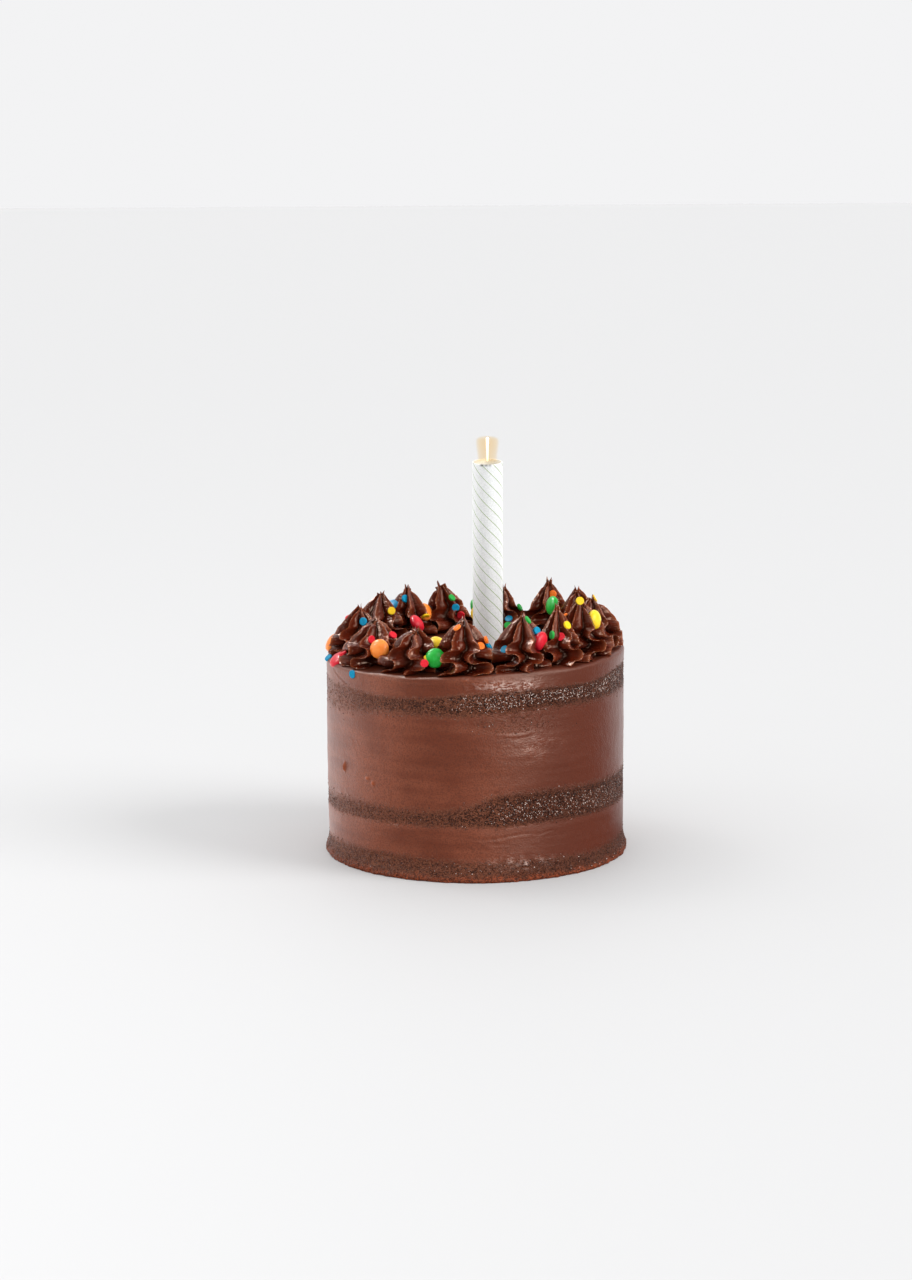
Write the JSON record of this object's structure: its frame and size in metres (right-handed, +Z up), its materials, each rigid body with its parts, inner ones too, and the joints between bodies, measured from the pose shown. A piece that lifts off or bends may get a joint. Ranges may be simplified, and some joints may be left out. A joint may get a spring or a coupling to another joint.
{
  "type": "birthday cake with fountain candle",
  "caption": "Tall round scraped-icing chocolate layer cake with a ring of piped kisses, sugar shells and confetti round its top and a tube candle in the middle.",
  "frame": {"origin": "centre of the cake's flat base", "axes": "+Z up through the cake, the front as seen from -Y, +X to the right of the front"},
  "size_m": [0.1506, 0.1506, 0.1955],
  "materials": {
    "sponge": "open dark chocolate sponge crumb, dry and rough",
    "buttercream": "scraped chocolate buttercream, satin",
    "piped_buttercream": "piped chocolate buttercream, soft gloss",
    "shell_red": "polished sugar shell",
    "shell_orange": "polished sugar shell",
    "shell_yellow": "polished sugar shell",
    "shell_green": "polished sugar shell",
    "shell_blue": "polished sugar shell",
    "candle_paper": "pearly wrapping paper with fine slanting lines",
    "candle_charge": "pressed powder"
  },
  "bodies": {
    "root": {"sponge_bottom": "sponge", "buttercream_lower": "buttercream", "sponge_middle": "sponge", "buttercream_upper": "buttercream", "sponge_top": "sponge", "icing_top": "buttercream", "kiss_01": "piped_buttercream", "kiss_02": "piped_buttercream", "kiss_03": "piped_buttercream", "kiss_04": "piped_buttercream", "kiss_05": "piped_buttercream", "kiss_06": "piped_buttercream", "kiss_07": "piped_buttercream", "kiss_08": "piped_buttercream", "kiss_09": "piped_buttercream", "kiss_10": "piped_buttercream", "kiss_11": "piped_buttercream", "kiss_12": "piped_buttercream", "kiss_13": "piped_buttercream", "kiss_14": "piped_buttercream", "shell_01_orange": "shell_orange", "shell_02_green": "shell_green", "shell_03_yellow": "shell_yellow", "shell_04_red": "shell_red", "shell_05_red": "shell_red", "shell_06_orange": "shell_orange", "shell_07_blue": "shell_blue", "shell_08_orange": "shell_orange", "shell_09_green": "shell_green", "shell_10_red": "shell_red", "shell_11_yellow": "shell_yellow", "shell_12_green": "shell_green", "shell_13_yellow": "shell_yellow", "shell_14_red": "shell_red", "shell_15_yellow": "shell_yellow", "shell_16_orange": "shell_orange", "shell_17_blue": "shell_blue", "shell_18_green": "shell_green", "candle_tube": "candle_paper", "candle_charge": "candle_charge"}
  },
  "joints": []
}
